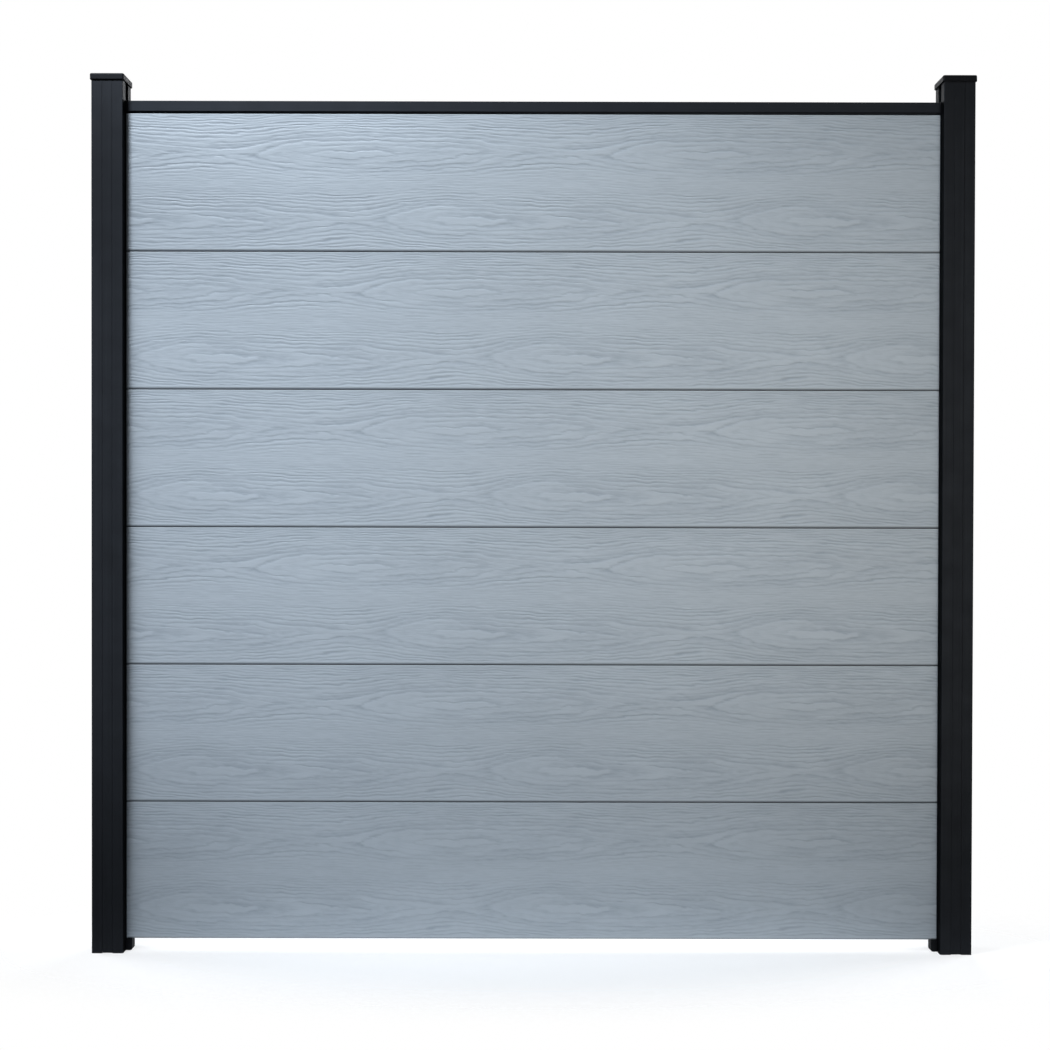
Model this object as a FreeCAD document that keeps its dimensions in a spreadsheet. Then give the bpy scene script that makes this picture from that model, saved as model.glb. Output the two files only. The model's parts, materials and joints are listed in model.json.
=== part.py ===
import FreeCAD, Part
import os
import Sketcher

from FreeCAD import Placement, Rotation, Vector


# Driving dimensions in millimetres, one cell each
SIZES = (
    ("clear_width", 1774.0, "between the facing sides of the two posts"),
    ("post_side", 68.0, "outside of the square post"),
    ("post_wall", 2.0, "wall of the post extrusion"),
    ("post_corner", 1.5, "rounding of the post's outer corners"),
    ("slot_depth", 18.0, "depth of the slot"),
    ("strip_clearance", 0.2, "gap between a cover strip and the slot, each side"),
    ("strip_face", 2.0, "thickness of the strip's face"),
    ("strip_leg", 1.4, "thickness of the strip's two legs"),
    ("strip_depth", 9.0, "how far the legs reach into the slot"),
    ("strip_bevel", 0.5, "bevel along the strip's face edges"),
    ("strip_end_gap", 1.0, "gap between a strip's end and the post's end"),
    ("board_count", 6, "boards laid one on the next"),
    ("board_pitch", 300.0, "cover height of one board"),
    ("board_thickness", 20.0, "thickness of a board"),
    ("board_entry", 13.0, "length of board held in each slot"),
    ("board_skin", 4.5, "wall around the chambers of a board"),
    ("board_web", 4.0, "web between two chambers"),
    ("chamber_count", 8, "chambers in one board"),
    ("joint_gap", 1.2, "open line between the faces of two boards"),
    ("lip_height", 4.5, "height of the slope on the lower face edges"),
    ("lip_depth", 2.5, "depth of the slope on the lower face edges"),
    ("shoulder_bevel", 1.2, "bevel of the upper face edges"),
    ("tongue_thickness", 7.0, "thickness of the tongue"),
    ("tongue_bevel", 1.0, "bevel of the tongue's tip"),
    ("groove_depth", 12.0, "depth of the groove"),
    ("groove_clearance", 0.4, "gap beside the tongue, each side"),
    ("ground_gap", 26.0, "height of the lowest board above the foot"),
    ("rail_height", 22.0, "height of the top rail"),
    ("rail_wall", 1.5, "wall of the rail extrusion"),
    ("rail_corner", 1.0, "rounding of the rail's upper edges"),
    ("rail_reveal", 6.0, "height of the shadow line under the rail's faces"),
    ("rail_leg_gap", 0.4, "gap between the rail's legs and the top board"),
    ("head_room", 47.2, "height of post left free above the rail"),
    ("cap_plate", 5.0, "thickness of the cap over the post"),
    ("cap_skirt_drop", 8.5, "how far the cap's skirt hangs down"),
    ("cap_skirt", 2.4, "thickness of the skirt"),
    ("cap_clearance", 0.5, "gap between the skirt and the post"),
    ("cap_corner", 4.0, "rounding of the cap's upright corners"),
    ("cap_edge", 3.2, "rounding of the cap's upper edge"),
    ("cap_lower_edge", 1.2, "rounding of the skirt's lower edge"),
    ("peg_length", 20.0, "length of the cap's pegs"),
    ("peg_clearance", 0.4, "gap around a peg in its chamber"),
    ("peg_bevel", 1.5, "lead-in bevel of a peg"),
    ("support_reach", 14.0, "length of the support block in front of the slot"),
    ("support_clearance", 0.3, "gap between the block and the slot"),
    ("support_corner", 5.0, "rounding of the block's free lower corner"),
    ("seal_clearance", 0.3, "gap between a seal and the board"),
    ("seal_leg", 0.7, "thickness of the seal's leg between board and slot"),
    ("seal_depth", 10.0, "length of the seal's leg in the slot"),
    ("seal_bead", 2.0, "size of the bead outside the slot"),
    ("seal_end_gap", 0.5, "gap between a seal and the support block"),
)

doc = FreeCAD.newDocument("FencePanel")
sheet = doc.addObject("Spreadsheet::Sheet", "Sizes")


class Formula:
    """A length that carries its spreadsheet formula and its present value."""

    def __init__(self, text, value):
        self.text = text
        self.value = value

    def __add__(self, other):
        other = as_formula(other)
        return Formula(f"({self.text} + {other.text})", self.value + other.value)

    def __sub__(self, other):
        other = as_formula(other)
        return Formula(f"({self.text} - {other.text})", self.value - other.value)

    def __mul__(self, other):
        other = as_formula(other)
        return Formula(f"({self.text} * {other.text})", self.value * other.value)

    def __truediv__(self, other):
        other = as_formula(other)
        return Formula(f"({self.text} / {other.text})", self.value / other.value)

    def __neg__(self):
        return self * -1


def as_formula(number):
    """Returns a formula as it is, and a plain number as a constant formula."""
    if isinstance(number, Formula):
        return number
    return Formula(f"({number})", float(number))


def fill_sheet():
    """Writes each size into its own aliased cell and returns the formulas that name them."""
    cells = {}
    for row, (alias, value, meaning) in enumerate(SIZES, start=1):
        sheet.set(f"A{row}", alias)
        sheet.set(f"B{row}", str(value))
        sheet.setAlias(f"B{row}", alias)
        sheet.set(f"C{row}", meaning)
        cells[alias] = Formula(f"Sizes.{alias}", float(value))
    doc.recompute()
    return cells


def new_body(label):
    """Adds an empty body whose label is the name of its file."""
    body = doc.addObject("PartDesign::Body", label)
    body.Label = label
    return body


def add_sketch(body, plane_role, outlines):
    """Draws closed outlines on an origin plane of the body, each corner dimensioned from the origin."""
    sketch = body.newObject("Sketcher::SketchObject", "Outline")
    plane = next(item for item in body.Origin.OriginFeatures if item.Role == plane_role)
    sketch.AttachmentSupport = (plane, "")
    sketch.MapMode = "FlatFace"
    for corners in outlines:
        first = sketch.GeometryCount
        count = len(corners)
        points = [Vector(across.value, along.value, 0) for across, along in corners]
        for index in range(count):
            sketch.addGeometry(Part.LineSegment(points[index], points[(index + 1) % count]), False)
        for index in range(count):
            following = first + (index + 1) % count
            sketch.addConstraint(Sketcher.Constraint("Coincident", first + index, 2, following, 1))
        for index, (across, along) in enumerate(corners):
            for kind, formula in (("DistanceX", across), ("DistanceY", along)):
                corner = Sketcher.Constraint(kind, -1, 1, first + index, 1, formula.value)
                number = sketch.addConstraint(corner)
                sketch.setExpression(f"Constraints[{number}]", formula.text)
    doc.recompute()
    return sketch


def add_pad(body, sketch, length, side="One side", back_length=None, reverse=False):
    """Extrudes a sketch by a bound length, to one side, both sides or evenly about its plane."""
    pad = body.newObject("PartDesign::Pad", "Pad")
    pad.Profile = sketch
    pad.SideType = side
    pad.Reversed = reverse
    pad.setExpression("Length", length.text)
    if back_length is not None:
        pad.setExpression("Length2", back_length.text)
    doc.recompute()
    return pad


def add_pocket(body, sketch, depth, reverse=False):
    """Cuts a sketch out of the body to a bound depth."""
    pocket = body.newObject("PartDesign::Pocket", "Pocket")
    pocket.Profile = sketch
    pocket.Reversed = reverse
    pocket.setExpression("Length", depth.text)
    doc.recompute()
    return pocket


def round_edges(body, feature, radius, wanted, kind="Fillet"):
    """Rounds or bevels the edges of a feature whose middle satisfies a test."""
    names = []
    for number, edge in enumerate(feature.Shape.Edges, start=1):
        if wanted(edge.CenterOfMass):
            names.append(f"Edge{number}")
    rounding = body.newObject(f"PartDesign::{kind}", kind)
    rounding.Base = (feature, names)
    rounding.setExpression("Radius" if kind == "Fillet" else "Size", radius.text)
    doc.recompute()
    return rounding


def place(body, across=None, depth=None, height=None, turn=0.0):
    """Turns a body about the upright axis and binds its position to the sheet."""
    body.Placement = Placement(Vector(0, 0, 0), Rotation(Vector(0, 0, 1), turn))
    for axis, formula in (("x", across), ("y", depth), ("z", height)):
        if formula is not None:
            body.setExpression(f"Placement.Base.{axis}", formula.text)


def rectangle(left, bottom, right, top):
    """Returns the four corners of an upright rectangle."""
    return [(left, bottom), (right, bottom), (right, top), (left, top)]


def quarter_turns(corners):
    """Returns the corners repeated in four quarter turns about the origin."""
    turned = []
    for _ in range(4):
        turned.append(corners)
        corners = [(-along, across) for across, along in corners]
    return turned


def near(first, second):
    """Tells whether two measured lengths agree."""
    return abs(first - second) < 0.01


size = fill_sheet()

# Lengths that several pieces share
board_half = size["board_thickness"] / 2
post_half = size["post_side"] / 2
slot_half = board_half + size["seal_clearance"] + size["seal_leg"]
slot_floor = post_half - size["slot_depth"]
post_centre = size["clear_width"] / 2 + post_half
chamber_outer = post_half - size["post_wall"]
chamber_inner = slot_half + size["post_wall"]
chamber_notch = slot_floor + size["post_wall"]
chamber_is_notched = chamber_notch.value > chamber_inner.value

board_length = size["clear_width"] + size["board_entry"] * 2
face_height = size["board_pitch"] - size["joint_gap"]
tongue_half = size["tongue_thickness"] / 2
tongue_height = size["groove_depth"] + size["joint_gap"]
groove_half = tongue_half + size["groove_clearance"]
shoulder_top = size["ground_gap"] + size["board_pitch"] * (size["board_count"] - 1) + face_height
rail_bottom = shoulder_top + size["rail_reveal"]
rail_top = rail_bottom + size["rail_height"]
post_height = rail_top + size["head_room"]

SIDES = (("left", -1), ("right", 1))


def build_post(label, side):
    """Square extrusion with a slot in each side, a centre chamber and four corner chambers."""
    body = new_body(label)
    quarter = [
        (post_half, -post_half),
        (post_half, -slot_half),
        (slot_floor, -slot_half),
        (slot_floor, slot_half),
        (post_half, slot_half),
    ]
    outer = [corner for turned in quarter_turns(quarter) for corner in turned]
    core = slot_floor - size["post_wall"]
    outlines = [outer, rectangle(-core, -core, core, core)]
    if chamber_is_notched:
        chamber = [
            (chamber_notch, chamber_inner),
            (chamber_outer, chamber_inner),
            (chamber_outer, chamber_outer),
            (chamber_inner, chamber_outer),
            (chamber_inner, chamber_notch),
            (chamber_notch, chamber_notch),
        ]
    else:
        chamber = rectangle(chamber_inner, chamber_inner, chamber_outer, chamber_outer)
    outlines.extend(quarter_turns(chamber))
    pad = add_pad(body, add_sketch(body, "XY_Plane", outlines), post_height)
    half = post_half.value
    round_edges(
        body, pad, size["post_corner"],
        lambda point: near(abs(point.x), half) and near(abs(point.y), half),
    )
    place(body, across=post_centre * side)


def build_strip(label, side, turn):
    """Cover strip for one slot: a face flush with the post and two legs that grip the slot."""
    body = new_body(label)
    half = slot_half - size["strip_clearance"]
    inside = half - size["strip_leg"]
    bevel_side = size["strip_bevel"] - post_half
    face_back = size["strip_face"] - post_half
    leg_end = size["strip_depth"] - post_half
    outline = [
        (-half, bevel_side),
        (size["strip_bevel"] - half, -post_half),
        (half - size["strip_bevel"], -post_half),
        (half, bevel_side),
        (half, leg_end),
        (inside, leg_end),
        (inside, face_back),
        (-inside, face_back),
        (-inside, leg_end),
        (-half, leg_end),
    ]
    length = post_height - size["strip_end_gap"] * 2
    add_pad(body, add_sketch(body, "XY_Plane", [outline]), length)
    place(body, across=post_centre * side, height=size["strip_end_gap"], turn=turn)


def build_seal(label, side, face):
    """Rubber seal: a flat leg beside the boards in the slot, and a bead on the post's inner side."""
    body = new_body(label)
    bead = size["seal_bead"] * -side
    leg = size["seal_depth"] * side
    nothing = as_formula(0)
    board_side = (board_half + size["seal_clearance"]) * face
    slot_side = slot_half * face
    bead_side = (slot_half + size["seal_bead"]) * face
    outline = [
        (leg, slot_side),
        (nothing, slot_side),
        (nothing, bead_side),
        (bead, bead_side),
        (bead, board_side),
        (leg, board_side),
    ]
    foot = size["ground_gap"] + size["seal_end_gap"]
    add_pad(body, add_sketch(body, "XY_Plane", [outline]), rail_top - foot)
    place(body, across=size["clear_width"] / 2 * side, height=foot)


def build_support(label, side):
    """Block in the foot of the inner slot, which carries one end of the lowest board."""
    body = new_body(label)
    slot_end = size["slot_depth"] - size["support_clearance"]
    reach = size["support_reach"]
    outline = rectangle(-slot_end, as_formula(0), reach, size["ground_gap"])
    width = (slot_half - size["support_clearance"]) * 2
    pad = add_pad(body, add_sketch(body, "XZ_Plane", [outline]), width, side="Symmetric")
    round_edges(
        body, pad, size["support_corner"],
        lambda point: near(point.x, reach.value) and near(point.z, 0),
    )
    place(body, across=size["clear_width"] / 2 * side, turn=0.0 if side < 0 else 180.0)


def build_board(label, number):
    """Hollow board with a groove below, a tongue above and sloped face edges."""
    body = new_body(label)
    nothing = as_formula(0)
    lip = board_half - size["lip_depth"]
    shoulder = board_half - size["shoulder_bevel"]
    tip = tongue_half - size["tongue_bevel"]
    tip_height = face_height + tongue_height
    front_half = [
        (nothing - tip, tip_height),
        (-tongue_half, tip_height - size["tongue_bevel"]),
        (-tongue_half, face_height),
        (-shoulder, face_height),
        (-board_half, face_height - size["shoulder_bevel"]),
        (-board_half, size["lip_height"]),
        (-lip, nothing),
        (-groove_half, nothing),
        (-groove_half, size["groove_depth"]),
    ]
    back_half = [(-across, along) for across, along in reversed(front_half)]
    outlines = [front_half + back_half]
    chamber_half = board_half - size["board_skin"]
    lowest = size["groove_depth"] + size["board_skin"]
    webs = size["board_web"] * (size["chamber_count"] - 1)
    chamber_height = (face_height - size["board_skin"] - lowest - webs) / size["chamber_count"]
    for index in range(int(size["chamber_count"].value)):
        bottom = lowest + (chamber_height + size["board_web"]) * index
        outlines.append(rectangle(-chamber_half, bottom, chamber_half, bottom + chamber_height))
    add_pad(body, add_sketch(body, "YZ_Plane", outlines), board_length, side="Symmetric")
    place(body, height=size["ground_gap"] + size["board_pitch"] * number)


def build_rail(label):
    """Hollow rail that stands on the tongue of the top board, with a leg on each side of it."""
    body = new_body(label)
    nothing = as_formula(0)
    wall = size["rail_wall"]
    channel_depth = tongue_height - size["rail_reveal"]
    leg_foot = size["rail_leg_gap"] - size["rail_reveal"]
    outer_half = [
        (-groove_half, channel_depth),
        (-groove_half, leg_foot),
        (-groove_half - wall, leg_foot),
        (-groove_half - wall, nothing),
        (-board_half, nothing),
        (-board_half, size["rail_height"]),
    ]
    hollow_half = [
        (-groove_half - wall, channel_depth + wall),
        (-groove_half - wall, wall),
        (wall - board_half, wall),
        (wall - board_half, size["rail_height"] - wall),
    ]
    outlines = []
    for half_outline in (outer_half, hollow_half):
        mirrored = [(-across, along) for across, along in reversed(half_outline)]
        outlines.append(half_outline + mirrored)
    pad = add_pad(body, add_sketch(body, "YZ_Plane", outlines), board_length, side="Symmetric")
    thickness_half = board_half.value
    height = size["rail_height"].value
    round_edges(
        body, pad, size["rail_corner"],
        lambda point: near(abs(point.y), thickness_half) and near(point.z, height),
    )
    place(body, height=rail_bottom)


def build_cap(label, side):
    """Push-on cap: a plate and skirt over the post, and a peg for each corner chamber."""
    body = new_body(label)
    inner = post_half + size["cap_clearance"]
    outer = inner + size["cap_skirt"]
    outline = rectangle(-outer, -outer, outer, outer)
    block = add_pad(
        body, add_sketch(body, "XY_Plane", [outline]), size["cap_plate"],
        side="Two sides", back_length=size["cap_skirt_drop"],
    )
    edge = outer.value
    upper = size["cap_plate"].value
    lower = -size["cap_skirt_drop"].value
    rounded = round_edges(
        body, block, size["cap_corner"],
        lambda point: near(abs(point.x), edge) and near(abs(point.y), edge),
    )
    rounded = round_edges(body, rounded, size["cap_edge"], lambda point: near(point.z, upper))
    round_edges(body, rounded, size["cap_lower_edge"], lambda point: near(point.z, lower))
    opening = rectangle(-inner, -inner, inner, inner)
    add_pocket(body, add_sketch(body, "XY_Plane", [opening]), size["cap_skirt_drop"])
    peg_start = (chamber_notch if chamber_is_notched else chamber_inner) + size["peg_clearance"]
    peg_end = chamber_outer - size["peg_clearance"]
    pegs = quarter_turns(rectangle(peg_start, peg_start, peg_end, peg_end))
    pegs = add_pad(body, add_sketch(body, "XY_Plane", pegs), size["peg_length"], reverse=True)
    peg_tip = -size["peg_length"].value
    round_edges(body, pegs, size["peg_bevel"], lambda point: near(point.z, peg_tip), kind="Chamfer")
    place(body, across=post_centre * side, height=post_height)


def build_panel():
    """Builds every piece of the panel, from the posts to the caps."""
    for name, side in SIDES:
        build_post(f"{name}_post", side)
        build_strip(f"{name}_front_strip", side, 0.0)
        build_strip(f"{name}_outer_strip", side, 90.0 * side)
        build_strip(f"{name}_back_strip", side, 180.0)
        build_seal(f"{name}_front_seal", side, -1)
        build_seal(f"{name}_back_seal", side, 1)
        build_support(f"{name}_support", side)
        build_cap(f"{name}_cap", side)
    for number in range(int(size["board_count"].value)):
        build_board(f"board_{number + 1}", number)
    build_rail("top_rail")
    doc.recompute()


def write_nodes():
    """Checks every object of the document and writes each body to its own file."""
    for item in doc.Objects:
        if "Invalid" in item.State or "Error" in item.State:
            raise RuntimeError(f"{item.Label} did not build: {item.State}")
    os.makedirs("parts", exist_ok=True)
    for body in doc.findObjects("PartDesign::Body"):
        shape = body.Shape
        if shape.isNull() or not shape.isValid() or len(shape.Solids) != 1:
            raise RuntimeError(f"{body.Label} is not one valid solid")
        shape.exportStep(f"parts/{body.Label}.step")


build_panel()
write_nodes()
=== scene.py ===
"""Looks of the fence panel: six embossed composite boards between two slotted aluminium posts.

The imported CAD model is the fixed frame. The boards are replaced by surfaces worked out with numpy,
in the same place, and every other CAD node keeps its shape and gets a procedural finish.
Lengths named _mm are millimetres, all others are metres.
"""

import json
import logging
import math
from dataclasses import dataclass, field
from enum import Enum

import bpy
import numpy as np
from mathutils import Matrix, Vector

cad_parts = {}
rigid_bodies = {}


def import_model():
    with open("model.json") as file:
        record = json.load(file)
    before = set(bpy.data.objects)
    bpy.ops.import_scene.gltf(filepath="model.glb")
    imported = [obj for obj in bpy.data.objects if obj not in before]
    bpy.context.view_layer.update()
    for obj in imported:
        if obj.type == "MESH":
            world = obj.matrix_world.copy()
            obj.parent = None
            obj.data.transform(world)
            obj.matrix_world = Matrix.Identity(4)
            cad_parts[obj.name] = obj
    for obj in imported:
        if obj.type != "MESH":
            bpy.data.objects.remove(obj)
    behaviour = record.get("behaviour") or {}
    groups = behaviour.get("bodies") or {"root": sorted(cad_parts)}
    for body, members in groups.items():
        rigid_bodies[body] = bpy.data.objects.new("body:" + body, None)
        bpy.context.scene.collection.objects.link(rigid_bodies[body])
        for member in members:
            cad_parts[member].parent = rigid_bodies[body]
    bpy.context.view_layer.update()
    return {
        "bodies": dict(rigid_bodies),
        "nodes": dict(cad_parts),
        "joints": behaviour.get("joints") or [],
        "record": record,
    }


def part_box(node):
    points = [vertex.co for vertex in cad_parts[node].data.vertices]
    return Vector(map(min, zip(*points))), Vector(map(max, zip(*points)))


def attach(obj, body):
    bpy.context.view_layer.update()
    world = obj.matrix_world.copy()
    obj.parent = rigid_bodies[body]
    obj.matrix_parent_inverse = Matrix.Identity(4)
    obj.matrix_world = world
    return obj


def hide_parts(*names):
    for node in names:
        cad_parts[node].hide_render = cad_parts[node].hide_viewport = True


LOG = logging.getLogger("fence_panel")
MM = 0.001
TINY_MM = 1e-6
FULL_TURN = 2.0 * math.pi
SHARP_EDGE_DEGREES = 32.0
RELIEF = "relief"
CORE_AND_JOINT_SHADE = "core_and_joint_shade"
# Sockets of a colour Mix node, which go by place because several share a name
MIX_SHARE, MIX_FIRST, MIX_SECOND, MIX_RESULT = 0, 6, 7, 2

Array = np.ndarray
Knots = tuple[tuple[float, float], ...]
Colour = tuple[float, float, float, float]
Place = tuple[float, float, float]
Pair = tuple[float, float]


class Side(Enum):
    """Which end of the panel a post stands at; the value starts the names of its nodes."""

    LEFT = "left"
    RIGHT = "right"


class Run(Enum):
    """Direction in which a profile left its die, as stretch factors along X, Y and Z."""

    UP = (1.0, 1.0, 0.004)
    ALONG = (0.004, 1.0, 1.0)


# Small helpers for colours, nodes and meshes


def linear(hex_value: str) -> Colour:
    """Turn an sRGB hex value into linear light.

    Args:
        hex_value: Six hex digits after a hash sign.

    Returns:
        Linear red, green and blue with full opacity.
    """
    parts = np.array([int(hex_value[i : i + 2], 16) for i in (1, 3, 5)]) / 255.0
    light = np.where(parts <= 0.04045, parts / 12.92, ((parts + 0.055) / 1.055) ** 2.4)
    return (float(light[0]), float(light[1]), float(light[2]), 1.0)


def add_node(
    tree: bpy.types.NodeTree,
    kind: str,
    settings: dict[str, object] | None = None,
    inputs: dict[str | int, object] | None = None,
) -> bpy.types.Node:
    """Add a node with its settings and links.

    Args:
        tree: Node tree that takes the node.
        kind: Blender's name for the kind of node.
        settings: Properties of the node.
        inputs: Input sockets by name or place, each with a number, a colour or the output that
            feeds it.

    Returns:
        The new node.
    """
    node = tree.nodes.new(kind)
    for key, value in (settings or {}).items():
        setattr(node, key, value)
    for key, value in (inputs or {}).items():
        if isinstance(value, bpy.types.NodeSocket):
            tree.links.new(value, node.inputs[key])
        else:
            node.inputs[key].default_value = value
    return node


def start_material(name: str) -> tuple[bpy.types.Material, bpy.types.NodeTree]:
    """Make an empty node material.

    Args:
        name: Name of the finish.

    Returns:
        The material and its node tree.
    """
    material = bpy.data.materials.new(name)
    material.use_nodes = True
    material.node_tree.nodes.clear()
    return material, material.node_tree


def pattern_space(tree: bpy.types.NodeTree, sizes_mm: Place) -> bpy.types.NodeSocket:
    """Give Object coordinates in which one unit is a pattern's own size.

    Args:
        tree: Node tree of the material.
        sizes_mm: Size of the pattern along X, Y and Z.

    Returns:
        The vector output.
    """
    coords = add_node(tree, "ShaderNodeTexCoord").outputs["Object"]
    scale = tuple(1.0 / (size * MM) for size in sizes_mm)
    mapping = add_node(tree, "ShaderNodeMapping", None, {"Vector": coords, "Scale": scale})
    return mapping.outputs["Vector"]


def make_piece(
    name: str, points: Array, faces: list[Array], fields: dict[str, Array] | None = None
) -> bpy.types.Object:
    """Put arrays of points and faces into a mesh object at the origin.

    Args:
        name: Name of the piece.
        points: Points in metres, one row each.
        faces: Arrays of point numbers, one face to a row.
        fields: Values at each point for the finish, by attribute name.

    Returns:
        The object, smooth apart from its sharp edges.
    """
    mesh = bpy.data.meshes.new(name)
    rows = [row for block in faces for row in block.tolist()]
    mesh.from_pydata(points.tolist(), [], rows)
    for label, values in (fields or {}).items():
        layer = mesh.attributes.new(label, "FLOAT", "POINT")
        layer.data.foreach_set("value", values.astype(np.float32))
    mesh.validate()
    mesh.shade_smooth()
    mesh.set_sharp_from_angle(angle=math.radians(SHARP_EDGE_DEGREES))
    piece = bpy.data.objects.new(name, mesh)
    bpy.context.scene.collection.objects.link(piece)
    return piece


def grid_faces(rows: int, columns: int) -> Array:
    """Number the quads of a tube, rows of points closed round on themselves.

    Args:
        rows: Number of stations along the tube.
        columns: Number of points round the tube.

    Returns:
        One quad to a row.
    """
    row, column = np.meshgrid(np.arange(rows - 1), np.arange(columns), indexing="ij")
    here, there = row * columns, (row + 1) * columns
    after = (column + 1) % columns
    corners = (here + column, here + after, there + after, there + column)
    return np.stack([corner.ravel() for corner in corners], axis=1)


def finish_node(frame: dict, node: str, material: bpy.types.Material) -> None:
    """Give a CAD node its finish and report it.

    Args:
        node: Name of the node.
        material: Its finish.
    """
    target = frame["nodes"][node]
    target.data.materials.clear()
    target.data.materials.append(material)
    LOG.info("finished %s as %s", node, material.name)


# Finishes


@dataclass(frozen=True)
class CompositeSkin:
    """Wood-plastic composite, co-extruded and embossed by a heated roller.

    The eye sees a pale blue-grey plastic, half matt, whose pressed grain catches light on its
    slopes. The floor of each groove is duller than the land that the roller polished, and its darker
    colour is painted shade for the narrow grooves. The surfaces inside the joints take a dark grey,
    in part the inner material where the skin ends and in part painted shade for the joints.
    """

    name: str = "wood_plastic_composite_embossed"
    land: str = "#acb8c3"
    # Painted shade: the darker colour in the grooves stands for the shade that falls in them
    groove: str = "#98a4b0"
    # Dark grey inside the joints: in part the board's inner material, in part painted shade for the
    # joints
    core_and_joint_shade: str = "#4c5157"
    land_roughness: float = 0.52
    groove_roughness: float = 0.68
    ior: float = 1.49
    # Real fibres are near 0.5 mm thick; drawn at 2 mm so that they show from three metres
    fibre_mm: Place = (16.0, 8.0, 2.0)
    fibre_range: Pair = (0.2, 0.8)
    cloud_mm: Place = (320.0, 60.0, 70.0)
    cloud_range: Pair = (0.25, 0.75)
    tone_range: Pair = (0.965, 1.035)
    bump_strength: float = 0.6
    bump_mm: float = 0.45

    def tone(
        self, tree: bpy.types.NodeTree, noise: bpy.types.NodeSocket, noise_range: Pair
    ) -> bpy.types.NodeSocket:
        """Turn a noise into a factor a little below or above one.

        Args:
            tree: Node tree of the material.
            noise: Output of the noise.
            noise_range: Values of the noise that give the darkest and the palest tone.

        Returns:
            The factor.
        """
        low, high = noise_range
        return add_node(
            tree, "ShaderNodeMapRange", None,
            {
                "Value": noise, "From Min": low, "From Max": high,
                "To Min": self.tone_range[0], "To Max": self.tone_range[1],
            },
        ).outputs["Result"]

    def material(self) -> bpy.types.Material:
        """Build the node material."""
        material, tree = start_material(self.name)
        relief = add_node(tree, "ShaderNodeAttribute", {"attribute_name": RELIEF}).outputs["Fac"]
        core_and_joint_shade = add_node(tree, "ShaderNodeAttribute", {"attribute_name": CORE_AND_JOINT_SHADE}).outputs["Fac"]
        fibre_space = pattern_space(tree, self.fibre_mm)
        fibre = add_node(
            tree, "ShaderNodeTexNoise", None,
            {"Vector": fibre_space, "Scale": 1.0, "Detail": 2.0, "Roughness": 0.6},
        ).outputs["Fac"]
        cloud_space = pattern_space(tree, self.cloud_mm)
        cloud = add_node(
            tree, "ShaderNodeTexNoise", None,
            {"Vector": cloud_space, "Scale": 1.0, "Detail": 3.0, "Roughness": 0.55},
        ).outputs["Fac"]
        # Painted shade: the grooves take the darker colour by their relief depth
        skin = add_node(
            tree, "ShaderNodeMix", {"data_type": "RGBA"},
            {MIX_SHARE: relief, MIX_FIRST: linear(self.land), MIX_SECOND: linear(self.groove)},
        ).outputs[MIX_RESULT]
        # Painted shade for the joints, in part the inner material: joint surfaces take the dark grey
        colour = add_node(
            tree, "ShaderNodeMix", {"data_type": "RGBA"},
            {MIX_SHARE: core_and_joint_shade, MIX_FIRST: skin, MIX_SECOND: linear(self.core_and_joint_shade)},
        ).outputs[MIX_RESULT]
        tone = add_node(
            tree, "ShaderNodeMath", {"operation": "MULTIPLY"},
            {
                0: self.tone(tree, cloud, self.cloud_range),
                1: self.tone(tree, fibre, self.fibre_range),
            },
        ).outputs["Value"]
        base = add_node(
            tree, "ShaderNodeVectorMath", {"operation": "SCALE"}, {0: colour, "Scale": tone}
        ).outputs["Vector"]
        rough = add_node(
            tree, "ShaderNodeMapRange", None,
            {"Value": relief, "To Min": self.land_roughness, "To Max": self.groove_roughness},
        ).outputs["Result"]
        bump = add_node(
            tree, "ShaderNodeBump", None,
            {"Height": fibre, "Strength": self.bump_strength, "Distance": self.bump_mm * MM},
        ).outputs["Normal"]
        shader = add_node(
            tree, "ShaderNodeBsdfPrincipled", None,
            {"Base Color": base, "Roughness": rough, "IOR": self.ior, "Normal": bump},
        )
        add_node(tree, "ShaderNodeOutputMaterial", None, {"Surface": shader.outputs["BSDF"]})
        return material


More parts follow.
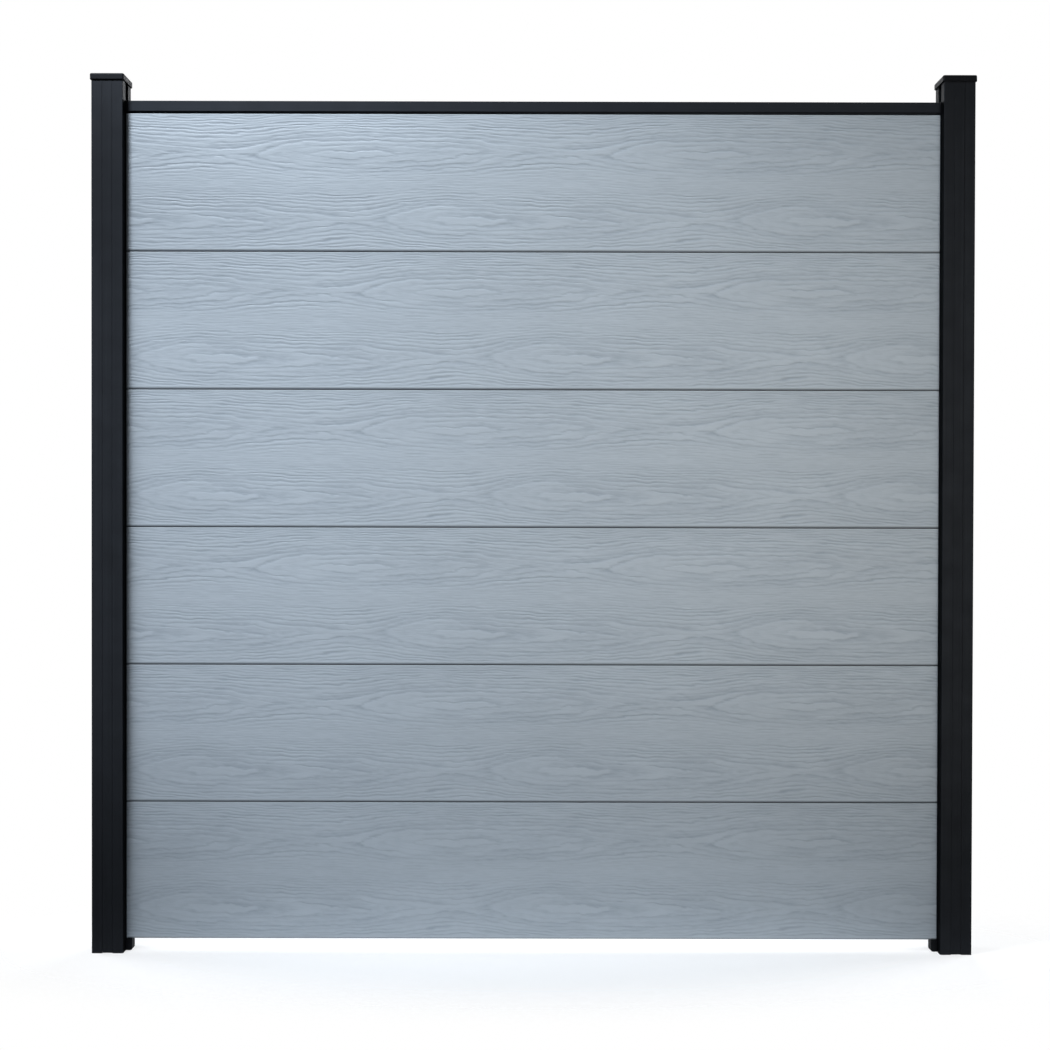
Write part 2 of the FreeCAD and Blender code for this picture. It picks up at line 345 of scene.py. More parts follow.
@dataclass(frozen=True)
class PowderCoat:
    """Polyester powder, sprayed on extruded aluminium and baked.

    The eye sees a near-black film with a dull gloss, whose reflections carry a painted blue tint.
    Its fine grit breaks up reflections, faint die lines of the extrusion run through it, and the
    film is slightly glossier where it flowed thick. On the faces of a post beside the boards the
    reflection is turned almost off as painted shade for that corner, so a dark line stands there.
    """

    name: str
    run: Run
    thin: str = "#040506"
    thick: str = "#07090b"
    thick_range: Pair = (0.15, 0.38)
    # Painted light: a cool blue tint on the coat's reflections, which stands for bluish light
    painted_reflection_tint: str = "#dfebff"
    roughness: Pair = (0.63, 0.71)
    roughness_range: Pair = (0.12, 0.4)
    ior: float = 1.5
    specular: float = 0.39
    # Real grit is near 0.3 mm; drawn at 1.2 mm so that it still shows from three metres
    grit_mm: float = 1.2
    flow_mm: float = 45.0
    die_line_mm: float = 2.5
    bump_strength: float = 0.35
    bump_mm: float = 0.06
    # Faces where the reflection is turned almost off, as painted shade for the corner by the boards
    corner_face_mm: float | None = None
    corner_margin_mm: float = 0.3
    corner_top_mm: float = 1850.0
    painted_shade_specular: float = 0.04

    def gloss(self, tree: bpy.types.NodeTree) -> bpy.types.NodeSocket | float:
        """Give the strength of the reflection, turned almost off on the faces that make a corner
        with the boards, as painted shade for that corner.

        Args:
            tree: Node tree of the material.

        Returns:
            The reflection's strength, one number where the piece has no such face.
        """
        if self.corner_face_mm is None:
            return self.specular
        coords = add_node(tree, "ShaderNodeTexCoord").outputs["Object"]
        place = add_node(tree, "ShaderNodeSeparateXYZ", None, {0: coords}).outputs
        out = add_node(
            tree, "ShaderNodeMath", {"operation": "ABSOLUTE"}, {0: place["X"]}
        ).outputs["Value"]
        reach = (self.corner_face_mm + self.corner_margin_mm) * MM
        face = add_node(
            tree, "ShaderNodeMath", {"operation": "LESS_THAN"}, {0: out, 1: reach}
        ).outputs["Value"]
        top = self.corner_top_mm * MM
        below = add_node(
            tree, "ShaderNodeMath", {"operation": "LESS_THAN"}, {0: place["Z"], 1: top}
        ).outputs["Value"]
        # Painted shade: mask of the faces beside the boards, below the rail, where the reflection is
        # turned almost off
        corner = add_node(
            tree, "ShaderNodeMath", {"operation": "MULTIPLY"}, {0: face, 1: below}
        ).outputs["Value"]
        return add_node(
            tree, "ShaderNodeMapRange", None,
            {"Value": corner, "To Min": self.specular, "To Max": self.painted_shade_specular},
        ).outputs["Result"]

    def material(self) -> bpy.types.Material:
        """Build the node material."""
        material, tree = start_material(self.name)
        die_lines_mm = tuple(self.die_line_mm / factor for factor in self.run.value)
        grit = add_node(
            tree, "ShaderNodeTexNoise", None,
            {"Vector": pattern_space(tree, (self.grit_mm,) * 3), "Scale": 1.0, "Detail": 1.0},
        ).outputs["Fac"]
        flow = add_node(
            tree, "ShaderNodeTexNoise", None,
            {"Vector": pattern_space(tree, (self.flow_mm,) * 3), "Scale": 1.0, "Detail": 3.0},
        ).outputs["Fac"]
        streak = add_node(
            tree, "ShaderNodeTexNoise", None,
            {"Vector": pattern_space(tree, die_lines_mm), "Scale": 1.0, "Detail": 2.0},
        ).outputs["Fac"]
        film = add_node(
            tree, "ShaderNodeMath", {"operation": "MULTIPLY"}, {0: flow, 1: streak}
        ).outputs["Value"]
        share = add_node(
            tree, "ShaderNodeMapRange", None,
            {"Value": film, "From Min": self.thick_range[0], "From Max": self.thick_range[1]},
        ).outputs["Result"]
        base = add_node(
            tree, "ShaderNodeMix", {"data_type": "RGBA"},
            {MIX_SHARE: share, MIX_FIRST: linear(self.thin), MIX_SECOND: linear(self.thick)},
        ).outputs[MIX_RESULT]
        rough = add_node(
            tree, "ShaderNodeMapRange", None,
            {
                "Value": film,
                "From Min": self.roughness_range[0], "From Max": self.roughness_range[1],
                "To Min": self.roughness[1], "To Max": self.roughness[0],
            },
        ).outputs["Result"]
        bump = add_node(
            tree, "ShaderNodeBump", None,
            {"Height": grit, "Strength": self.bump_strength, "Distance": self.bump_mm * MM},
        ).outputs["Normal"]
        shader = add_node(
            tree, "ShaderNodeBsdfPrincipled", None,
            {
                "Base Color": base, "Roughness": rough, "IOR": self.ior, "Normal": bump,
                "Specular IOR Level": self.gloss(tree), "Specular Tint": linear(self.painted_reflection_tint),
            },
        )
        add_node(tree, "ShaderNodeOutputMaterial", None, {"Surface": shader.outputs["BSDF"]})
        return material


@dataclass(frozen=True)
class MouldedPlastic:
    """Black plastic, injection moulded in a spark-eroded steel mould.

    The eye sees a dark, even satin with a fine pebbled texture and slightly uneven gloss where it
    cooled.
    """

    name: str
    colour: str = "#060709"
    pale: str = "#090a0c"
    roughness: Pair = (0.56, 0.66)
    roughness_range: Pair = (0.3, 0.7)
    ior: float = 1.52
    specular: float = 0.2
    # Painted light: a cool blue tint on the plastic's reflections, which stands for bluish light
    painted_reflection_tint: str = "#e5eeff"
    # Real spark texture is near 0.15 mm; drawn at 0.9 mm so that it shows
    pebble_mm: float = 0.9
    cloud_mm: float = 24.0
    bump_strength: float = 0.3
    bump_mm: float = 0.05

    def material(self) -> bpy.types.Material:
        """Build the node material."""
        material, tree = start_material(self.name)
        pebble = add_node(
            tree, "ShaderNodeTexVoronoi", {"feature": "SMOOTH_F1"},
            {"Vector": pattern_space(tree, (self.pebble_mm,) * 3), "Scale": 1.0},
        ).outputs["Distance"]
        cloud = add_node(
            tree, "ShaderNodeTexNoise", None,
            {"Vector": pattern_space(tree, (self.cloud_mm,) * 3), "Scale": 1.0, "Detail": 3.0},
        ).outputs["Fac"]
        base = add_node(
            tree, "ShaderNodeMix", {"data_type": "RGBA"},
            {MIX_SHARE: cloud, MIX_FIRST: linear(self.colour), MIX_SECOND: linear(self.pale)},
        ).outputs[MIX_RESULT]
        rough = add_node(
            tree, "ShaderNodeMapRange", None,
            {
                "Value": cloud,
                "From Min": self.roughness_range[0], "From Max": self.roughness_range[1],
                "To Min": self.roughness[0], "To Max": self.roughness[1],
            },
        ).outputs["Result"]
        bump = add_node(
            tree, "ShaderNodeBump", None,
            {"Height": pebble, "Strength": self.bump_strength, "Distance": self.bump_mm * MM},
        ).outputs["Normal"]
        shader = add_node(
            tree, "ShaderNodeBsdfPrincipled", None,
            {
                "Base Color": base, "Roughness": rough, "IOR": self.ior, "Normal": bump,
                "Specular IOR Level": self.specular, "Specular Tint": linear(self.painted_reflection_tint),
            },
        )
        add_node(tree, "ShaderNodeOutputMaterial", None, {"Surface": shader.outputs["BSDF"]})
        return material


@dataclass(frozen=True)
class LitFloor:
    """Opal acrylic table, sanded matt and lit from below, for the floor.

    The eye sees an even pale ground with soft shadows under the posts, which fades out round the
    object so that no horizon shows.
    """

    name: str = "opal_acrylic_sanded_lit"
    colour: str = "#e6e8ea"
    roughness: float = 0.9
    specular: float = 0.2
    glow: float = 0.62
    reach: Pair = (1.5, 0.5)
    fade_from: float = 0.35

    def material(self) -> bpy.types.Material:
        """Build the node material."""
        material, tree = start_material(self.name)
        coords = add_node(tree, "ShaderNodeTexCoord").outputs["Object"]
        scale = (1.0 / self.reach[0], 1.0 / self.reach[1], 1.0)
        place = add_node(
            tree, "ShaderNodeMapping", None, {"Vector": coords, "Scale": scale}
        ).outputs["Vector"]
        radius = add_node(
            tree, "ShaderNodeVectorMath", {"operation": "LENGTH"}, {0: place}
        ).outputs["Value"]
        fade = add_node(
            tree, "ShaderNodeMapRange", {"interpolation_type": "SMOOTHSTEP"},
            {
                "Value": radius, "From Min": self.fade_from, "From Max": 1.0,
                "To Min": 1.0, "To Max": 0.0,
            },
        ).outputs["Result"]
        colour = linear(self.colour)
        shader = add_node(
            tree, "ShaderNodeBsdfPrincipled", None,
            {
                "Base Color": colour, "Roughness": self.roughness, "Alpha": fade,
                "Specular IOR Level": self.specular,
                "Emission Color": colour, "Emission Strength": self.glow,
            },
        )
        add_node(tree, "ShaderNodeOutputMaterial", None, {"Surface": shader.outputs["BSDF"]})
        return material


# The pressed grain


NOISE_ROWS = 256
NOISE_FIRST_ROW = 40.0
RING_GAINS = 64
GAIN_SEED = 9
# Rings above and below a centre line, and the noises of one ring, read rows that lie apart
LOWER_RINGS = 31
RUN_ROWS, WIDTH_ROWS, SPAN_ROWS = 17.0, 11.0, 23.0
ROW_MIDDLE = 0.5
UPPER_SEED, LOWER_SEED = 11, 31


def lattice_noise(along: Array, across: Array, cell: Pair, seed: int, period: float) -> Array:
    """Smooth noise on a lattice that closes on itself along the roll.

    Formula in words: random values from -1 to 1 stand at the corners of cells, and each point
    blends the four round it with a fifth-degree fade.

    Args:
        along: Place along the roll in millimetres.
        across: Place across the roll in millimetres.
        cell: Size of a cell along and across.
        seed: Seed of the random values.
        period: Length after which the roll repeats.

    Returns:
        The noise at each point.
    """
    count = max(1, round(period / cell[0]))
    table = np.random.default_rng(seed).uniform(-1.0, 1.0, (count, NOISE_ROWS))
    places = along * (count / period), across / cell[1] + NOISE_FIRST_ROW
    low_a, low_b = (np.floor(place).astype(int) for place in places)
    parts = places[0] - low_a, places[1] - low_b
    fade_a, fade_b = (t * t * t * (t * (t * 6.0 - 15.0) + 10.0) for t in parts)
    near_a, far_a = low_a % count, (low_a + 1) % count
    near_b, far_b = low_b % NOISE_ROWS, (low_b + 1) % NOISE_ROWS
    lower = table[near_a, near_b] * (1.0 - fade_a) + table[far_a, near_b] * fade_a
    upper = table[near_a, far_b] * (1.0 - fade_a) + table[far_a, far_b] * fade_a
    return lower * (1.0 - fade_b) + upper * fade_b


@dataclass(frozen=True)
class Ripple:
    """One layer of lattice noise: its strength, its cell along and across, and its seed."""

    strength: float
    cell_mm: Pair
    seed: int


@dataclass(frozen=True)
class EmbossRoll:
    """Crown-cut wood grain on the heated roller, repeated each turn.

    Two bands of nested arches lie one above the other, with a straight fine-lined zone between
    them. Each band has a tree-ring level along its centre line, and a groove runs wherever the
    level plus the distance from the centre line reaches a whole ring.
    """

    turn_mm: float = 770.0
    # Tree rings and their grooves
    ring_mm: float = 4.0
    pith_mm: float = 100.0
    crown_mm: float = 24.0
    groove_mm: float = 1.6
    least_rings_per_mm: float = 0.06
    gain_range: Pair = (0.72, 1.0)
    run_mean: float = 0.85
    run_range: Pair = (0.3, 1.1)
    run: Ripple = Ripple(0.45, (56.0, 9.0), 3)
    width: Ripple = Ripple(0.35, (34.0, 9.0), 4)
    wobbles: tuple[Ripple, ...] = (
        Ripple(2.4, (96.0, 26.0), 0), Ripple(1.4, (38.0, 12.0), 1), Ripple(0.9, (14.0, 7.0), 7),
    )
    ring_shifts: tuple[Ripple, ...] = (
        Ripple(0.13, (24.0, 8.0), 2), Ripple(0.12, (10.0, 5.0), 6),
    )
    # Where the arches open, the inner rings are weaker
    open_from_mm: float = 20.0
    open_over_mm: float = 180.0
    open_least: float = 0.5
    open_rings: float = 3.0
    # Sunken spans between two rings
    span_mean: float = 0.6
    span: Ripple = Ripple(0.8, (64.0, 9.0), 5)
    span_edge: float = 0.06
    span_last_ring: float = 6.5
    span_fade_rings: float = 2.0
    span_depth: float = 0.8
    span_fibre: float = 0.5
    # The two bands and the seam where they meet
    upper_centre_mm: float = 86.0
    upper_sway_mm: float = 2.0
    lower_centre_mm: float = 233.0
    lower_sway_mm: float = 2.5
    lower_phase: float = 2.0
    lower_shift_mm: float = 284.0
    seam_mm: float = 163.0
    seam_sway_mm: float = 6.0
    seam_phase: float = 1.0
    seam_step_mm: float = 4.0
    # Fine straight lines and wood fibres
    fine_centre_mm: float = 147.0
    fine_half_mm: float = 24.0
    fine_line_mm: float = 5.2
    fine_depth: float = 0.34
    fine_cover: float = 0.75
    fine_mean: float = 0.6
    fine_most: float = 1.2
    fine_drift: Ripple = Ripple(2.0, (120.0, 20.0), 51)
    fine_jitter: Ripple = Ripple(2.2, (30.0, 6.0), 52)
    fine_fading: Ripple = Ripple(0.8, (28.0, 5.0), 53)
    fibre_depth: float = 0.14
    fibres: tuple[Ripple, ...] = (Ripple(0.5, (18.0, 2.8), 61), Ripple(0.5, (9.0, 2.0), 62))
    # Ring levels on the centre lines
    level_smooth_mm: float = 7.0
    level_reach_mm: int = 24
    upper_levels: Knots = (
        (0, 3.0), (50, 2.0), (115, 1.0), (180, 0.45), (250, 0.55), (330, 1.0), (430, 1.5),
        (492, 1.75), (504, 2.2), (550, 2.6), (591, 3.0), (640, 3.45), (690, 3.6), (735, 3.4),
    )
    lower_levels: Knots = (
        (0, 3.0), (40, 2.0), (95, 1.0), (150, 0.4), (220, 0.55), (306, 1.0), (420, 1.5),
        (508, 1.75), (520, 2.2), (580, 2.6), (612, 3.0), (660, 3.5), (700, 3.7), (745, 3.4),
    )

    def ripple(self, layer: Ripple, along: Array, across: Array, first_seed: int = 0) -> Array:
        """Give one layer of noise, which repeats with the roll's turn.

        Args:
            layer: Strength, cell and seed of the layer.
            along: Place along the roll in millimetres.
            across: Place across the roll in millimetres.
            first_seed: Number from which the layer's seed counts.

        Returns:
            The noise times its strength.
        """
        seed = first_seed + layer.seed
        return layer.strength * lattice_noise(along, across, layer.cell_mm, seed, self.turn_mm)

    def level(self, along: Array, knots: Knots) -> Array:
        """Ring level on a band's centre line.

        Formula in words: straight lines through the knots, repeated each turn and smoothed by a
        Gaussian.

        Args:
            along: Place along the roll in millimetres.
            knots: Places along the roll with their ring levels.

        Returns:
            The level at each point.
        """
        places, values = (np.array(column) for column in zip(*knots))
        grid = np.arange(0.0, self.turn_mm)
        wrapped = np.concatenate([places - self.turn_mm, places, places + self.turn_mm])
        line = np.interp(grid, wrapped, np.tile(values, 3))
        reach = self.level_reach_mm
        kernel = np.exp(-0.5 * (np.arange(-reach, reach + 1) / self.level_smooth_mm) ** 2)
        padded = np.concatenate([line[-reach:], line, line[:reach]])
        line = np.convolve(padded, kernel / kernel.sum(), mode="valid")
        grid, line = np.append(grid, self.turn_mm), np.append(line, line[0])
        return np.interp(along % self.turn_mm, grid, line)

    def band(
        self, along: Array, off_centre: Array, knots: Knots, seed: int
    ) -> tuple[Array, Array]:
        """Grooves and sunken spans of one band of arches.

        Formula in words: a flat cut lies at the pith's depth plus the ring level below the tree's
        centre, so the ring number grows with the wobbling distance to that centre, and a share that
        is straight in the distance from the centre line draws the arches to a point. A bell-shaped
        groove stands at each whole ring, its strength and width changing along it. From each ring
        outwards the span to the next one is pressed in and rises in a straight line. The inner
        rings and spans grow weaker where the arches open.

        Args:
            along: Place along the roll in millimetres.
            off_centre: Distance from the band's centre line.
            knots: Ring levels along the centre line.
            seed: First of the band's seeds.

        Returns:
            Groove depth and sunken depth, both from 0 to about 1.
        """
        across = off_centre + sum(
            self.ripple(layer, along, off_centre, seed) for layer in self.wobbles
        )
        radius = np.hypot(across, self.pith_mm + self.level(along, knots) * self.ring_mm)
        ring = (radius - self.pith_mm) / self.ring_mm + np.abs(across) / self.crown_mm
        for layer in self.ring_shifts:
            ring = ring + self.ripple(layer, along, off_centre, seed)
        nearest, inner = np.round(ring), np.floor(ring)
        half = np.where(across > 0.0, LOWER_RINGS, 0)
        opening = np.clip(
            (along % self.turn_mm - self.open_from_mm) / self.open_over_mm, self.open_least, 1.0
        )

        rings_per_mm = np.abs(across) / radius / self.ring_mm + 1.0 / self.crown_mm
        distance = np.abs(ring - nearest) / np.maximum(rings_per_mm, self.least_rings_per_mm)
        gains = np.random.default_rng(seed + GAIN_SEED).uniform(*self.gain_range, RING_GAINS)
        gain = gains[(nearest.astype(int) + half) % RING_GAINS]
        run_row = (nearest + half) * RUN_ROWS + ROW_MIDDLE
        run = np.clip(self.run_mean + self.ripple(self.run, along, run_row, seed), *self.run_range)
        width_row = (nearest + half) * WIDTH_ROWS + ROW_MIDDLE
        width = self.groove_mm * (1.0 + self.ripple(self.width, along, width_row, seed))
        bell = np.exp(-((distance / width) ** 2))
        groove = np.where(nearest < 1.0, 0.0, bell * gain * run)
        groove *= np.where(nearest < self.open_rings, opening, 1.0)

        part = ring - inner
        slope = (
            (1.0 - part)
            * np.clip(part / self.span_edge, 0.0, 1.0)
            * np.clip((self.span_last_ring - ring) / self.span_fade_rings, 0.0, 1.0)
        )
        span_row = (inner + half) * SPAN_ROWS + ROW_MIDDLE
        span = np.clip(self.span_mean + self.ripple(self.span, along, span_row, seed), 0.0, 1.0)
        sunken = np.where(inner < 1.0, 0.0, slope * span)
        sunken *= np.where(inner < self.open_rings, opening, 1.0)
        return groove, sunken

    def relief(self, along: Array, below: Array) -> Array:
        """Depth of the whole pattern.

        Formula in words: the upper and lower bands meet through a steep logistic step; between them
        the grooves give way to fine straight lines; sunken spans and wood fibres are added at a
        lower depth.

        Args:
            along: Place along the roll in millimetres.
            below: Distance below the board's upper edge in millimetres.

        Returns:
            The depth from 0 to 1.
        """
        phase = FULL_TURN * along / self.turn_mm
        upper_off = below - self.upper_centre_mm - self.upper_sway_mm * np.sin(phase)
        upper, upper_sunk = self.band(along, upper_off, self.upper_levels, UPPER_SEED)
        lower_sway = self.lower_sway_mm * np.sin(phase + self.lower_phase)
        lower_off = below - self.lower_centre_mm - lower_sway
        lower, lower_sunk = self.band(
            along - self.lower_shift_mm, lower_off, self.lower_levels, LOWER_SEED
        )
        seam = self.seam_mm + self.seam_sway_mm * np.sin(phase + self.seam_phase)
        share = 1.0 / (1.0 + np.exp(-(below - seam) / self.seam_step_mm))
        groove = upper * (1.0 - share) + lower * share
        sunken = upper_sunk * (1.0 - share) + lower_sunk * share

        zone = np.exp(-(((below - self.fine_centre_mm) / self.fine_half_mm) ** 4))
        place = below + self.ripple(self.fine_drift, along, below)
        jitter = self.ripple(self.fine_jitter, along, below)
        lines = 0.5 + 0.5 * np.cos(FULL_TURN * place / self.fine_line_mm + jitter)
        fading = self.fine_mean + self.ripple(self.fine_fading, along, below)
        lines = self.fine_depth * lines * np.clip(fading, 0.0, self.fine_most)
        groove = groove * (1.0 - self.fine_cover * zone) + lines * zone

        fibre = sum(self.ripple(layer, along, below) for layer in self.fibres)
        pressed = sunken * (self.span_depth + self.span_fibre * fibre)
        return np.clip(np.maximum(groove, pressed) + self.fibre_depth * fibre, 0.0, 1.0)


# Sub-assemblies


@dataclass
class Board:
    """One hollow composite board with its pressed faces, tongue, groove and eased edges."""

    number: int
    roll: EmbossRoll
    roll_start_mm: float
    half_mm: float = 10.0
    face_mm: float = 298.8
    lip_height_mm: float = 6.0
    lip_depth_mm: float = 2.5
    lip_points: int = 7
    shoulder_mm: float = 1.2
    shoulder_points: int = 5
    tongue_half_mm: float = 3.5
    tongue_tip_mm: float = 312.0
    tongue_bevel_mm: float = 1.0
    groove_half_mm: float = 3.9
    groove_depth_mm: float = 12.0
    press_mm: float = 0.85
    stations: int = 320
    front_rows: int = 205
    back_rows: int = 66
    back_shift_mm: float = 310.0
    margin_mm: float = 3.0

    @property
    def node(self) -> str:
        """Name of the CAD node that the board stands for."""
        return f"board_{self.number}"

    def half_outline(self, rows: int) -> tuple[Array, Array]:
        """Section from the groove's roof round one face to the tongue's tip.

        Formula in words: the lower lip is a parabola that leaves the face without a corner, the
        shoulder is a quarter circle, and the face between them is straight with evenly spaced rows.

        Args:
            rows: Number of rows on the face.

        Returns:
            Distance from the middle plane and height above the board's lower edge.
        """
        lip = np.linspace(1.0, 0.0, self.lip_points)
        arc = np.linspace(0.0, 0.5 * math.pi, self.shoulder_points)
        face_top = self.face_mm - self.shoulder_mm
        face = np.linspace(self.lip_height_mm, face_top, rows)[1:-1]
        tip = self.tongue_half_mm - self.tongue_bevel_mm
        across = np.concatenate([
            [self.groove_half_mm, self.groove_half_mm],
            self.half_mm - self.lip_depth_mm * lip**2,
            np.full(face.size, self.half_mm),
            self.half_mm - self.shoulder_mm * (1.0 - np.cos(arc)),
            [self.tongue_half_mm, self.tongue_half_mm, tip],
        ])
        height = np.concatenate([
            [self.groove_depth_mm, 0.0],
            self.lip_height_mm * (1.0 - lip),
            face,
            self.face_mm - self.shoulder_mm * (1.0 - np.sin(arc)),
            [self.face_mm, self.tongue_tip_mm - self.tongue_bevel_mm, self.tongue_tip_mm],
        ])
        return across, height

    def build(self) -> bpy.types.Object:
        """Carry the section along X and press the grain into both faces.

        Formula in words: each point of the section moves towards the middle plane by the roll's
        depth at its place, faded out over a margin at the upper and lower edges.

        Returns:
            The board's object.
        """
        low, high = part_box(self.node)
        front, front_height = self.half_outline(self.front_rows)
        back, back_height = self.half_outline(self.back_rows)
        across = np.concatenate([-front, back[::-1]])
        height = np.concatenate([front_height, back_height[::-1]])
        x_mm = np.linspace(low.x, high.x, self.stations) / MM
        along, level = np.meshgrid(x_mm - self.roll_start_mm, height, indexing="ij")
        face = np.abs(across) >= self.half_mm - TINY_MM
        face_top = self.face_mm - self.shoulder_mm
        ends = np.minimum(height - self.lip_height_mm, face_top - height) / self.margin_mm
        weight = np.where(face, np.clip(ends, 0.0, 1.0), 0.0)
        along = along + np.where(across > 0.0, self.back_shift_mm, 0.0)
        depth = self.roll.relief(along, self.face_mm - level) * weight
        y_mm = across - np.sign(across) * self.press_mm * depth
        x_all = np.broadcast_to(x_mm[:, None], depth.shape)
        z_all = np.broadcast_to(height, depth.shape) + low.z / MM
        points = np.stack([x_all, y_mm, z_all], axis=-1).reshape(-1, 3) * MM
        columns = across.size
        sides = grid_faces(self.stations, columns)
        near_end = np.arange(columns)[None, :]
        far_end = (self.stations - 1) * columns + np.arange(columns)[::-1][None, :]
        # Painted shade for the joints, in part the bare inner material: lip and shoulder surfaces
        # darken towards the middle plane
        bare_core_and_shade = np.clip((self.half_mm - np.abs(across)) / self.lip_depth_mm, 0.0, 1.0)
        core_and_joint_shade = np.broadcast_to(np.where(face, 0.0, bare_core_and_shade), depth.shape)
        fields = {RELIEF: depth.ravel(), CORE_AND_JOINT_SHADE: core_and_joint_shade.ravel()}
        faces = [sides[:, ::-1], near_end, far_end]
        return make_piece(f"{self.node}_embossed", points, faces, fields)

    def dress(self, material: bpy.types.Material) -> None:
        """Build the board, give it its finish and seat it on the infill.

        Args:
            material: The composite finish.
        """
        piece = self.build()
        piece.data.materials.append(material)
        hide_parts(self.node)
        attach(piece, "infill")
        LOG.info("built %s with %d faces", piece.name, len(piece.data.polygons))


@dataclass
class Infill:
    """The stack of boards with the rail on top of it."""

    board_count: int = 6
    first_start_mm: float = -610.0
    other_start_mm: float = -381.0
    first_start_boards: tuple[int, ...] = (3, 6)
    roll: EmbossRoll = field(default_factory=EmbossRoll)
    skin: CompositeSkin = field(default_factory=CompositeSkin)
    # The rail's reflections get a bluer painted tint
    rail_coat: PowderCoat = PowderCoat(
        "powder_coat_black_rail", Run.ALONG, painted_reflection_tint="#d9e8ff", specular=0.48
    )

    def build(self, frame: dict) -> None:
        """Build the boards and finish the rail.
        """
        skin = self.skin.material()
        for number in range(1, self.board_count + 1):
            first = number in self.first_start_boards
            start_mm = self.first_start_mm if first else self.other_start_mm
            Board(number, self.roll, start_mm).dress(skin)
        finish_node(frame, "top_rail", self.rail_coat.material())


@dataclass
class Posts:
    """Both posts with their cover strips, seals and board supports."""

    # The post coat has painted shade on its faces beside the boards
    post_coat: PowderCoat = PowderCoat("powder_coat_black_post", Run.UP, corner_face_mm=887.0)
    strip_coat: PowderCoat = PowderCoat("powder_coat_black_strip", Run.UP)
    support_plastic: MouldedPlastic = MouldedPlastic("polyamide_moulded_black")
    seal_rubber: MouldedPlastic = MouldedPlastic("rubber_extruded_black", roughness=(0.55, 0.7))

    def build(self, frame: dict) -> None:
        """Finish every node of the two posts.
        """
        finishes = {
            "post": self.post_coat.material(),
            "strip": self.strip_coat.material(),
            "support": self.support_plastic.material(),
            "seal": self.seal_rubber.material(),
        }
        for node in sorted(frame["nodes"]):
            for word, material in finishes.items():
                if node.endswith(word):
                    finish_node(frame, node, material)


@dataclass
class Cap:
    """Moulded cap of one post: a plate, a skirt and a peg for each corner chamber."""

    side: Side
    plastic: bpy.types.Material

    @property
    def node(self) -> str:
        """Name of the cap's CAD node."""
        return f"{self.side.value}_cap"

    def build(self, frame: dict) -> None:
        """Finish the cap's node.
        """
        finish_node(frame, self.node, self.plastic)


@dataclass(frozen=True)
class Softbox:
    """A square softbox behind a honeycomb grid, which faces a target."""

    name: str
    place: Place
    target: Place
    watts: float
    spread_degrees: float
    side: float
    tint: str

    def hang(self) -> None:
        """Add the light to the scene."""
        lamp = bpy.data.lights.new(self.name, "AREA")
        lamp.shape = "SQUARE"
        lamp.size = self.side
        lamp.energy = self.watts
        lamp.spread = math.radians(self.spread_degrees)
        lamp.color = linear(self.tint)[:3]
        holder = bpy.data.objects.new(self.name, lamp)
        aim = (Vector(self.target) - Vector(self.place)).to_track_quat("-Z", "Y")
        holder.matrix_world = Matrix.Translation(self.place) @ aim.to_matrix().to_4x4()
        holder.visible_camera = False
        bpy.context.scene.collection.objects.link(holder)


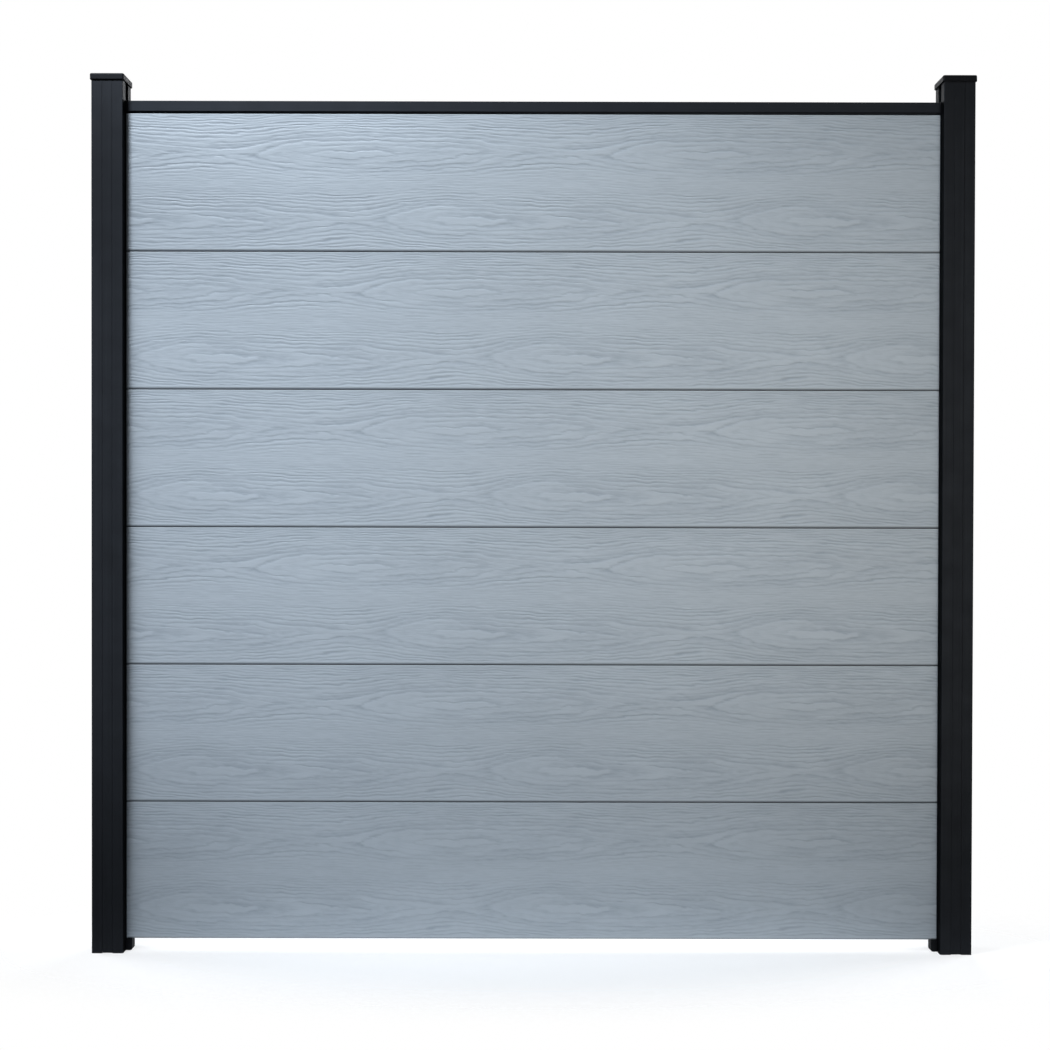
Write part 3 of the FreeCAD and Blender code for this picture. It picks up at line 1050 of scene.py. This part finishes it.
@dataclass
class Studio:
    """Floor, soft lights, white surround and the camera."""

    floor_half: float = 4.0
    surround: str = "#ffffff"
    surround_strength: float = 0.089
    softboxes: tuple[Softbox, ...] = (
        Softbox(
            "high_softbox", (-1.36, -1.17, 3.49), (-0.6, 0.0, 2.4), 23.4, 80.8, 0.5, "#f6faff"
        ),
        Softbox(
            "low_softbox", (-1.16, -0.67, 1.0), (-0.63, 0.0, 0.78), 3.68, 79.5, 1.29, "#f6faff"
        ),
        Softbox("front_softbox", (1.16, -2.6, 1.0), (0.79, 0.0, 1.13), 4.1, 37.3, 1.78, "#fff9ef"),
        Softbox("back_softbox", (0.65, 2.6, 2.3), (0.1, 0.0, 1.0), 11.0, 70.0, 1.5, "#fdfeff"),
        Softbox("right_softbox", (2.6, 0.9, 2.2), (0.92, 0.0, 1.2), 9.0, 70.0, 1.2, "#fdfeff"),
        Softbox("left_softbox", (-2.6, 0.9, 2.0), (-0.92, 0.0, 1.0), 7.0, 70.0, 1.2, "#fdfeff"),
    )
    sensor_mm: float = 36.0
    lens_mm: float = 50.53
    camera_at: Place = (-0.0184, -3.2244, 0.9620)
    yaw_degrees: float = -0.0352
    pitch_degrees: float = 89.4542
    roll_degrees: float = 0.1247
    acrylic: LitFloor = field(default_factory=LitFloor)

    def add_floor(self) -> None:
        """Lay the acrylic floor as one flat square."""
        corners = [[-1.0, -1.0, 0.0], [1.0, -1.0, 0.0], [1.0, 1.0, 0.0], [-1.0, 1.0, 0.0]]
        points = self.floor_half * np.array(corners)
        floor = make_piece("studio_floor", points, [np.array([[0, 1, 2, 3]])])
        floor.data.materials.append(self.acrylic.material())

    def add_surround(self) -> None:
        """Fill the surround with pale light, and show it as white behind the object."""
        world = bpy.data.worlds.new("studio_surround")
        world.use_nodes = True
        tree = world.node_tree
        tree.nodes.clear()
        colour = linear(self.surround)
        path = add_node(tree, "ShaderNodeLightPath").outputs["Is Camera Ray"]
        light, white = (
            add_node(tree, "ShaderNodeBackground", None, {"Color": colour, "Strength": strength})
            for strength in (self.surround_strength, 1.0)
        )
        seen = add_node(
            tree, "ShaderNodeMixShader", None, {0: path, 1: light.outputs[0], 2: white.outputs[0]}
        )
        add_node(tree, "ShaderNodeOutputWorld", None, {"Surface": seen.outputs[0]})
        bpy.context.scene.world = world

    def add_camera(self) -> None:
        """Set up the camera from the photograph's viewing angle."""
        lens = bpy.data.cameras.new("photo_camera")
        lens.sensor_width = self.sensor_mm
        lens.lens = self.lens_mm
        camera = bpy.data.objects.new("photo_camera", lens)
        turns = ((self.yaw_degrees, "Z"), (self.pitch_degrees, "X"), (self.roll_degrees, "Z"))
        matrix = Matrix.Translation(self.camera_at)
        for angle, axis in turns:
            matrix = matrix @ Matrix.Rotation(math.radians(angle), 4, axis)
        camera.matrix_world = matrix
        bpy.context.scene.collection.objects.link(camera)
        bpy.context.scene.camera = camera

    def build(self) -> None:
        """Set up the whole studio."""
        self.add_camera()
        self.add_floor()
        self.add_surround()
        for softbox in self.softboxes:
            softbox.hang()
        bpy.context.scene.view_settings.view_transform = "Standard"
        LOG.info("studio ready")


def main() -> None:
    """Build the sub-assemblies in order."""
    logging.basicConfig(level=logging.INFO, format="%(name)s: %(message)s")
    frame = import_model()
    Infill().build(frame)
    Posts().build(frame)
    cap_plastic = MouldedPlastic("acrylic_plastic_moulded_black").material()
    for side in Side:
        Cap(side, cap_plastic).build(frame)
    Studio().build()


if __name__ == "__main__":
    main()
